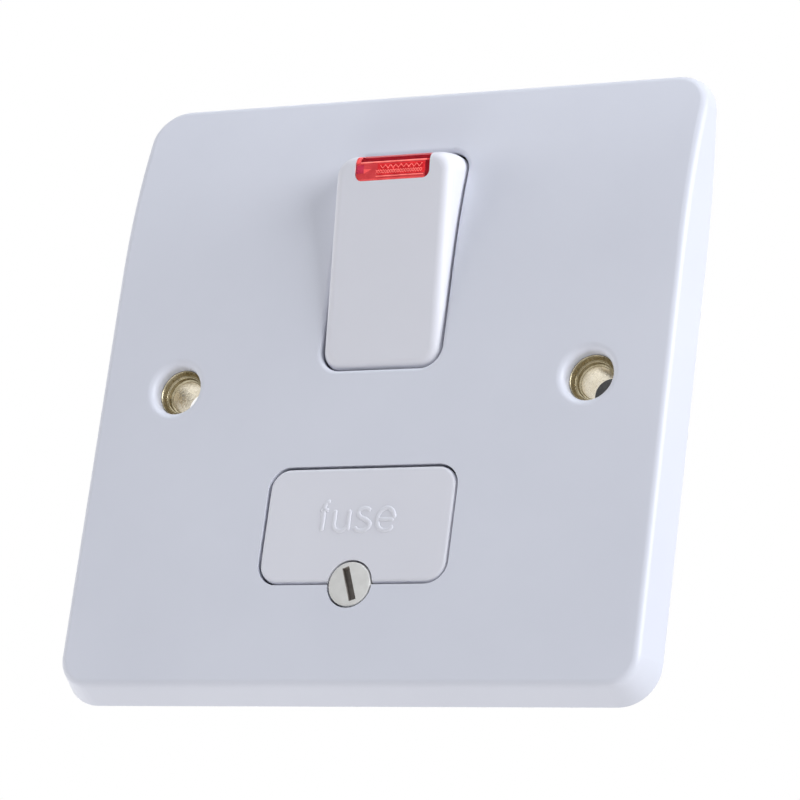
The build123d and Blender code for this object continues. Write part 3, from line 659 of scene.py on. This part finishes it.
def makeCarrierScrew():
    look = carrierScrew
    bm = bmesh.new()
    rows = turnedRows(bm, look["centre"], screwProfile(look), look["segments"])
    gridFaces(bm, rows, closeAcross=True)
    finish = [paint, slotDarkWornAndShaded, steel]
    piece = finishMesh(bm, "slottedCarrierScrew", "captive_screw", finish)
    cutter = bmesh.new()
    addSlotBox(cutter, look, look["centre"], look["slotAngle"])
    cutSlots(piece, cutter)
    shadeCut(piece)
    front = look["head"][0][1]
    for face in piece.data.polygons:
        middle = face.center / mm
        reach = math.hypot(middle.x - look["centre"][0], middle.z - look["centre"][1])
        # sunk slot faces take the dark slot finish: painted shade over bare metal
        sunk = look["darkFrom"] < middle.y - front < look["darkTo"]
        if sunk and reach < look["darkReach"]:
            face.material_index = 1
        else:
            face.material_index = 2 if middle.y > look["headBack"] else 0
    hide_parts("carrier_screw")


makeCarrierScrew()
print("carrier screw made")

terminalScrews = {
    "places": [(19.9, 24.75), (-19.9, 24.75), (-19.9, 3.0), (-19.9, -20.5), (19.9, -5.0)],
    "angles": [12, -35, 58, 81, -10],
    "segments": 48,
    "head": [
        (0, 15.888), (2.2, 15.888), (2.55, 15.84), (2.74, 15.7), (2.8, 15.5),
        (2.8, 14.3), (2.72, 14.19), (1.7, 14.19), (1.65, 14.1), (1.65, 13.9),
    ],
    "crest": 1.65, "root": 1.3, "pitch": 0.7, "threadFrom": 13.8, "threadTo": 10.3,
    "tip": [(1.3, 10.1), (1.1, 9.99), (0, 9.99)],
    "slotWidth": 0.9, "slotLength": 6.2, "slotDepth": 0.8, "slotTurns": [0],
    "wallReach": 2.5,
}
assemblyScrews = {
    "places": [(-19.9, 13.0), (-19.9, -12.6), (19.9, 13.0), (19.9, -12.6)],
    "angles": [20, 65, 40, 5],
    "segments": 48,
    "head": [
        (0, 10.8), (1.7, 10.8), (2.15, 10.7), (2.4, 10.45), (2.5, 10.1),
        (2.5, 9.1), (2.42, 9.0), (1.3, 9.0), (1.25, 8.9), (1.25, 8.2),
    ],
    "crest": 1.25, "root": 0.95, "pitch": 0.8, "threadFrom": 8.1, "threadTo": 1.8,
    "tip": [(0.7, 1.4), (0, 1.0)],
    "slotWidth": 0.62, "slotLength": 2.9, "slotDepth": 0.9, "slotTurns": [0, 90],    # cross head
    "wallReach": 1.6,
}
slotFaces = {"near": 0.01, "floorNormal": 0.9}


def makeScrewSet(look, name, node):
    bm = bmesh.new()
    for place in look["places"]:
        rows = turnedRows(bm, place, screwProfile(look), look["segments"])
        gridFaces(bm, rows, closeAcross=True)
    piece = finishMesh(bm, name, "unit", [steel, slotDarkWornAndShaded])
    for turn in look["slotTurns"]:    # one cut for each direction: crossing boxes spoil the boolean
        cutter = bmesh.new()
        for place, angle in zip(look["places"], look["angles"]):
            addSlotBox(cutter, look, place, angle + turn)
        cutSlots(piece, cutter)
    shadeCut(piece)
    front = look["head"][0][1]
    slotEnd = front - look["slotDepth"]
    near = slotFaces["near"]
    # slot floors and walls take the dark slot finish: painted shade in the recess
    for face in piece.data.polygons:
        middle, lean = face.center / mm, abs(face.normal.y)
        reach = min(math.hypot(middle.x - x, middle.z - z) for x, z in look["places"])
        floor = abs(middle.y - slotEnd) < near and lean > slotFaces["floorNormal"]
        wall = slotEnd < middle.y < front - near and lean < near and reach < look["wallReach"]
        face.material_index = 1 if floor or wall else 0
    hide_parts(node)


makeScrewSet(terminalScrews, "clampScrews", "terminal_screws")
makeScrewSet(assemblyScrews, "housingScrews", "assembly_screws")
print("screws made")

# rocker space: x across, up along the face, out from the pivot
rockerSpace = {"pivotY": -0.1, "pivotZ": 17.25, "tilt": math.radians(7.5)}


def rockerPoint(x, up, out):
    sine, cosine = math.sin(rockerSpace["tilt"]), math.cos(rockerSpace["tilt"])
    y = rockerSpace["pivotY"] - sine * up - cosine * out
    z = rockerSpace["pivotZ"] + cosine * up - sine * out
    return Vector((x, y, z)) * mm


# plunger springs: round wire with closed end turns
coilSprings = {
    "x": 4.2,
    "radius": 1.26,
    "wire": 0.2,
    "low": -0.15,
    "high": 3.85,
    "turns": 5.0,
    "endTurns": 0.9,
    "endPitch": 0.42,
    "stepsPerTurn": 40,
    "sides": 12,
    "tubeEnd": 4.1,
    "keep": 0.82,
}


def coilHeight(turn):
    look = coilSprings
    closed, openTurns = look["endTurns"], look["turns"] - 2 * look["endTurns"]
    pitch = (look["high"] - look["low"] - 2 * closed * look["endPitch"]) / openTurns
    inOpen = min(max(turn - closed, 0), openTurns)
    return look["low"] + inOpen * pitch + (turn - inOpen) * look["endPitch"]


def makeSprings():
    look = coilSprings
    bm = bmesh.new()
    for side in (-1, 1):
        rows = []
        for i in range(round(look["turns"] * look["stepsPerTurn"]) + 1):
            turn = i / look["stepsPerTurn"]
            angle = 2 * math.pi * turn
            row = []
            for j in range(look["sides"]):
                a = 2 * math.pi * j / look["sides"]
                reach = look["radius"] + look["wire"] * math.cos(a)
                x = side * look["x"] + reach * math.cos(angle)
                out = coilHeight(turn) + look["wire"] * math.sin(a)
                row.append(bm.verts.new(rockerPoint(x, reach * math.sin(angle), out)))
            rows.append(row)
        gridFaces(bm, rows, closeAcross=True)
        bm.faces.new(rows[0])
        bm.faces.new(rows[-1])
    piece = finishMesh(bm, "roundSprings", "switch", [steel])
    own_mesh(piece)
    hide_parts("plunger_springs")


makeSprings()
print("springs made")

# lens: a clear cover that rounds over from the rocker's face to its drum
lensCover = {
    "halfWidth": 5.46,
    "low": 11.08,
    "back": 3.86,
    "front": 6.4,
    "drum": 15.66,
    "drumInset": 0.02,
    "topRound": 1.4,
    "corner": 1.0,
    "edge": 0.1,
    "wall": 1.2,           # from the front to the first point of the lower wall
    "columns": (-3, -1.5, 0, 1.5, 3),
    "rows": (12.1, 12.8),
    "steps": {"corner": 8, "edge": 3, "round": 9, "drum": 4},
}


def lensColumns():
    look = lensCover
    corner, steps = look["corner"], look["steps"]["corner"]
    ends = []
    for i in range(steps + 1):
        a = math.radians(90 - 90 * i / steps)
        x = -look["halfWidth"] + corner - corner * math.sin(a)
        ends.append((x, corner * (1 - math.cos(a))))
    return ends + [(x, 0) for x in look["columns"]] + [(-x, rise) for x, rise in reversed(ends)]


def lensSection(low):
    # (up, out) from the back of the lower wall, round the front edge and over to the drum
    look, steps = lensCover, lensCover["steps"]
    section = [(low, look["back"]), (low, look["front"] - look["wall"])]
    for i in range(steps["edge"] + 1):
        a = math.radians(90 * i / steps["edge"])
        up = low + look["edge"] * (1 - math.cos(a))
        section.append((up, look["front"] - look["edge"] * (1 - math.sin(a))))
    section += [(up, look["front"]) for up in look["rows"]]
    roundOut = look["front"] - look["topRound"]
    roundUp = math.sqrt((look["drum"] - look["topRound"])**2 - roundOut**2)
    meet = math.atan2(roundOut, roundUp)
    for i in range(steps["round"] + 1):
        a = math.pi / 2 + (meet - math.pi / 2) * i / steps["round"]
        up = roundUp + look["topRound"] * math.cos(a)
        section.append((up, roundOut + look["topRound"] * math.sin(a)))
    last = math.asin(look["back"] / look["drum"])
    for i in range(1, steps["drum"] + 1):
        a = meet + (last - meet) * i / steps["drum"]
        up = look["drum"] * math.cos(a) - look["drumInset"]
        section.append((up, look["drum"] * math.sin(a)))
    return section


def makeLensCover():
    bm = bmesh.new()
    rows = []
    for x, rise in lensColumns():
        section = lensSection(lensCover["low"] + rise)
        rows.append([bm.verts.new(rockerPoint(x, up, out)) for up, out in section])
    gridFaces(bm, rows, closeAcross=True)
    bm.faces.new(rows[0])
    bm.faces.new(rows[-1])
    piece = finishMesh(bm, "redLens", "switch", [lensClear])
    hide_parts("neon_lens")


# relief moulded into the back of the lens: two rows of prisms, long ridges and an end facet, with
# painted highlights and painted shade by zone
lensPrisms = {
    "halfWidth": 5.44,
    "low": 11.1,
    "bend": 13.355,        # where the rounded top edge starts
    "turn": 1.4,           # how far round the top edge the relief goes, in radians
    "sunk": 0.16,
    "depth": 1.55,         # side walls down to the back of the lens
    "step": 0.04,
    "crispAngle": 20,
    "rise": 0.12,          # of the ridges and prisms
    "line": 0.05,
    "rows": {
        "zigzag": {"height": 12.92, "from": -1.84, "to": 4.4, "half": 0.23, "pitch": 0.77},
        "diamonds": {"height": 12.25, "from": -2.47, "to": 4.4, "half": 0.25, "pitch": 0.74},
    },
    "rowTop": 0.8,         # share of the rise where a prism's sides leave its pale edge
    # field: painted shade, a deeper red over the middle and right of the lens
    "field": {"from": -2.3, "low": 11.8, "high": 13.4},
    # lowRidge: a painted highlight line
    "lowRidge": {"height": 11.64, "from": -2.45, "to": 4.55, "half": 0.055},
    # topRidge: a painted highlight line round the top edge, painted shade in crimson beyond it,
    # painted light in rose past its ends
    "topRidge": {"from": -4.8, "to": 5.0, "turn": (0.16, 0.25), "endRise": 0.04, "behind": -0.06},
    # facet: painted shade in plum
    "facet": {"to": -4.31, "low": 12.16, "high": 13.3, "rise": -0.1},
    # point: painted light in rose on its lower half
    "point": {"to": -3.12, "height": 12.7, "half": 0.62},    # runs on from the facet
    # darkEnd: painted shade in crimson at the right end
    "darkEnd": {"from": 4.75, "rise": -0.05},
    # border: painted light in rose along the lower edge
    "border": 11.36,
}


def prismRow(kind, x, up):
    look, row = lensPrisms, lensPrisms["rows"][kind]
    if not row["from"] < x < row["to"]:
        return None
    swing = abs(((x - row["from"]) / row["pitch"]) % 1 * 2 - 1) * 2 - 1
    lines = [row["height"] + row["half"] * swing]
    if kind == "diamonds":
        lines.append(row["height"] - row["half"] * swing)
    near = min(abs(up - line) for line in lines)
    # prism edges are painted highlight lines, their insides painted shade
    if near < look["line"]:
        return "pale", look["rise"]
    if abs(up - row["height"]) < row["half"]:
        return "deep", look["rise"] * (look["rowTop"] - near / row["half"])
    return None


def prismZone(x, up):
    # the red and the rise of the relief at a place on the lens; the reds other than coral are
    # painted light and shade
    look = lensPrisms
    turn = max(up - look["bend"], 0) / (lensCover["topRound"] - look["sunk"])
    ridge, facet, point = look["topRidge"], look["facet"], look["point"]
    if turn > ridge["turn"][1]:
        return ("rose", ridge["endRise"]) if x < ridge["from"] else ("crimson", ridge["behind"])
    if turn > ridge["turn"][0]:
        onRidge = ridge["from"] < x < ridge["to"]
        return ("pale", look["rise"]) if onRidge else ("rose", ridge["endRise"])
    if x < facet["to"] and facet["low"] < up < facet["high"]:
        return "plum", facet["rise"]
    if facet["to"] <= x < point["to"]:
        reach = (point["to"] - x) / (point["to"] - facet["to"])
        across = abs(up - point["height"]) / point["half"]
        if across < reach:
            red = "rose" if up < point["height"] else "coral"
            return red, look["rise"] * (reach - across)
    low = look["lowRidge"]
    if low["from"] < x < low["to"] and abs(up - low["height"]) < low["half"]:
        return "pale", look["rise"]
    for kind in look["rows"]:
        found = prismRow(kind, x, up)
        if found:
            return found
    if x > look["darkEnd"]["from"]:
        return "crimson", look["darkEnd"]["rise"]
    if up < look["border"]:
        return "rose", look["rise"] * (look["border"] - up)
    field = look["field"]
    if x > field["from"] and field["low"] < up < field["high"]:
        return "deep", 0.0
    return "coral", 0.0


def makeLensPrisms():
    look, step = lensPrisms, lensPrisms["step"]
    innerRound = lensCover["topRound"] - look["sunk"]
    roundOut = lensCover["front"] - lensCover["topRound"]
    countX = round(2 * look["halfWidth"] / step)
    countUp = round((look["bend"] + innerRound * look["turn"] - look["low"]) / step)
    bm = bmesh.new()
    rows = []
    for i in range(countUp + 1):
        up = look["low"] + i * step
        turn = max(up - look["bend"], 0) / innerRound
        row = []
        for j in range(countX + 1):
            x = -look["halfWidth"] + j * step
            reach = innerRound + prismZone(x, up)[1]
            height = min(up, look["bend"]) + reach * math.sin(turn)
            row.append(bm.verts.new(rockerPoint(x, height, roundOut + reach * math.cos(turn))))
        rows.append(row)
    gridFaces(bm, rows)
    bm.faces.ensure_lookup_table()
    # each face takes its zone's red: the coral ground, painted light and painted shade
    reds = list(prismFinishes)
    for i in range(countUp):
        for j in range(countX):
            x = -look["halfWidth"] + (j + 0.5) * step
            up = look["low"] + (i + 0.5) * step
            bm.faces[i * countX + j].material_index = reds.index(prismZone(x, up)[0])
    border = [edge for edge in bm.edges if edge.is_boundary]
    walls = bmesh.ops.extrude_edge_only(bm, edges=border)["geom"]
    sine, cosine = math.sin(rockerSpace["tilt"]), math.cos(rockerSpace["tilt"])
    backward = Vector((0, cosine, sine)) * look["depth"] * mm
    for item in walls:
        if isinstance(item, bmesh.types.BMVert):
            item.co += backward
    backEdges = [item for item in walls if isinstance(item, bmesh.types.BMEdge)]
    bmesh.ops.contextual_create(bm, geom=backEdges)
    finish = list(prismFinishes.values())
    finishMesh(bm, "lensPrisms", "switch", finish, look["crispAngle"])


makeLensCover()
makeLensPrisms()
print("lens made")

# raised word on the fuse carrier: plain round strokes in mm on the carrier's face
fuseWord = {
    "face": -4.6,
    "radius": 0.3,
    "lift": 0.13,
    "step": 0.09,
    "sides": 14,
    "curveSteps": 24,      # between two points of a stroke
    "endSize": 0.03,       # share of the radius at a stroke's very end
    "crispAngle": 60,
    "strokes": [
        [(-5.07, -20.66), (-5.05, -19.3), (-5.04, -18.0), (-5.0, -17.2), (-4.74, -16.7),
         (-4.22, -16.58)],
        [(-5.6, -17.76), (-4.36, -17.76)],
        [(-3.38, -17.72), (-3.38, -19.0), (-3.34, -19.9), (-2.98, -20.46), (-2.32, -20.64),
         (-1.68, -20.38), (-1.32, -19.78)],
        [(-1.28, -17.72), (-1.28, -20.66)],
        [(1.76, -18.06), (1.3, -17.68), (0.74, -17.6), (0.18, -17.82), (0.02, -18.28),
         (0.38, -18.8), (1.22, -19.16), (1.8, -19.66), (1.7, -20.24), (1.16, -20.6),
         (0.56, -20.66), (0.0, -20.46), (-0.3, -20.08)],
        [(3.0, -19.18), (5.26, -19.18)],
        [(5.28, -19.16), (5.16, -18.4), (4.74, -17.82), (4.14, -17.6), (3.46, -17.84),
         (2.98, -18.5), (2.9, -19.24), (3.06, -20.02), (3.5, -20.5), (4.14, -20.68),
         (4.78, -20.5), (5.18, -19.98)],
    ],
}


def curveBetween(p, q, r, s, t):
    # Catmull-Rom curve from q to r
    bend, twist = 2 * p - 5 * q + 4 * r - s, 3 * q - p - 3 * r + s
    return 0.5 * (2 * q + (r - p) * t + bend * t**2 + twist * t**3)


def smoothPath(points, step, curveSteps):
    # even steps along a smooth line through the points
    ends = [points[0]] + points + [points[-1]]
    dense = []
    for four in zip(ends, ends[1:], ends[2:], ends[3:]):
        for i in range(curveSteps):
            dense.append(tuple(curveBetween(*values, i / curveSteps) for values in zip(*four)))
    dense.append(points[-1])
    path, walked, target = [dense[0]], 0.0, step
    for a, b in zip(dense, dense[1:]):
        walked += math.dist(a, b)
        if walked >= target:
            path.append(b)
            target += step
    if math.dist(path[-1], dense[-1]) < step / 2:
        path.pop()
    return path + [dense[-1]]


def makeFuseWord():
    look, radius = fuseWord, fuseWord["radius"]
    bm = bmesh.new()
    for stroke in look["strokes"]:
        path = smoothPath(stroke, look["step"], look["curveSteps"])
        walked = [0.0]
        for a, b in zip(path, path[1:]):
            walked.append(walked[-1] + math.dist(a, b))
        rows = []
        for i, (x, z) in enumerate(path):
            before, after = path[max(i - 1, 0)], path[min(i + 1, len(path) - 1)]
            along = Vector((after[0] - before[0], after[1] - before[1])).normalized()
            end = min(walked[i], walked[-1] - walked[i])
            inset = max(radius - end, 0) / radius
            size = math.sqrt(max(1 - inset**2, look["endSize"]**2))    # round ends
            row = []
            for j in range(look["sides"]):
                a = 2 * math.pi * j / look["sides"]
                across = radius * size * math.cos(a)
                y = look["face"] - look["lift"] * size * math.sin(a)
                place = (x - along.y * across, y, z + along.x * across)
                row.append(bm.verts.new(Vector(place) * mm))
            rows.append(row)
        gridFaces(bm, rows, closeAcross=True)
        bm.faces.new(rows[0])
        bm.faces.new(rows[-1])
    finishMesh(bm, "raisedWord", "carrier", [fittingWhite], look["crispAngle"])


makeFuseWord()
print("raised word made")

# stage, light and camera
paperWhite = (1, 1, 1, 1)
stage = {
    "floorZ": -1.6,
    "floorSize": 4.0,
    "floorColour": (0.86, 0.86, 0.87, 1),
    "floorRoughness": 0.9,
}
light = {
    "skyColour": (0.88, 0.92, 1.0, 1),
    "skyStrength": 0.235,
    "distance": 1.2,
    "size": 0.75,
    "panels": {            # where each stands, its power and its colour
        "keyPanel": ((0.9, -0.24, 0.36), 15.0, (0.94, 0.965, 1.0)),
        "leftPanel": ((-0.95, -0.25, 0.1), 6.9, (1.0, 0.99, 0.97)),
        "lowPanel": ((0.0, -0.25, -0.95), 7.2, (1.0, 0.99, 0.97)),
        "topPanel": ((0.0, -0.35, 0.94), 5.0, (0.9, 0.94, 1.0)),
    },
    "unmirrored": ["leftPanel", "lowPanel"],    # or the face clips to white in some views
}
view = {
    "place": (0.22888, -0.43291, -0.16589),
    "turn": (108.783, -7.127, 25.298),
    "lens": 175.92,
    "sensor": 36,
    "nearest": 0.01,
}


def seenRays(tree):
    # rays that show the white paper: straight to the camera, mirrored or through glass
    rays = addNode(tree, "ShaderNodeLightPath").outputs
    seen = rays["Is Camera Ray"]
    for kind in ("Is Glossy Ray", "Is Transmission Ray"):
        either = addNode(tree, "ShaderNodeMath", {0: seen, 1: rays[kind]})
        either.operation = "MAXIMUM"
        seen = either.outputs[0]
    return seen


def makeStage():
    size = stage["floorSize"]
    mesh = bpy.data.meshes.new("floor")
    corners = [(-size, -size), (size, -size), (size, size), (-size, size)]
    mesh.from_pydata([(x, y, stage["floorZ"]) for x, y in corners], [], [(0, 1, 2, 3)])
    floor = bpy.data.objects.new("floor", mesh)
    bpy.context.scene.collection.objects.link(floor)
    mat, tree, shader = startFinish("floorPaper")
    setInputs(tree, shader, {
        "Base Color": stage["floorColour"],
        "Roughness": stage["floorRoughness"],
        "Emission Color": paperWhite,
        "Emission Strength": seenRays(tree),    # 1 is white
    })
    mesh.materials.append(mat)


def makeSky():
    world = bpy.data.worlds.new("studio")
    bpy.context.scene.world = world
    world.use_nodes = True
    tree = world.node_tree
    tree.nodes.clear()
    skyLook = {"Color": light["skyColour"], "Strength": light["skyStrength"]}
    sky = addNode(tree, "ShaderNodeBackground", skyLook)
    paper = addNode(tree, "ShaderNodeBackground", {"Color": paperWhite, "Strength": 1.0})
    shown = {0: seenRays(tree), 1: sky.outputs[0], 2: paper.outputs[0]}
    mix = addNode(tree, "ShaderNodeMixShader", shown)
    addNode(tree, "ShaderNodeOutputWorld", {"Surface": mix.outputs[0]})


def makePanels():
    for name, (towards, power, colour) in light["panels"].items():
        lamp = bpy.data.lights.new(name, "AREA")
        lamp.size = light["size"]
        lamp.energy = power
        lamp.color = colour
        panel = bpy.data.objects.new(name, lamp)
        direction = Vector(towards).normalized()
        panel.location = direction * light["distance"]
        panel.rotation_mode = "QUATERNION"
        panel.rotation_quaternion = direction.to_track_quat("Z", "Y")
        panel.visible_glossy = name not in light["unmirrored"]
        bpy.context.scene.collection.objects.link(panel)


def makeCamera():
    data = bpy.data.cameras.new("photoCamera")
    data.sensor_fit = "HORIZONTAL"
    data.sensor_width = view["sensor"]
    data.lens = view["lens"]
    data.clip_start = view["nearest"]
    camera = bpy.data.objects.new("photoCamera", data)
    camera.location = view["place"]
    camera.rotation_euler = [math.radians(v) for v in view["turn"]]
    bpy.context.scene.collection.objects.link(camera)
    bpy.context.scene.camera = camera


makeStage()
makeSky()
makePanels()
makeCamera()
bpy.context.scene.view_settings.view_transform = "Standard"
print("stage, light and camera set")

bpy.context.view_layer.update()
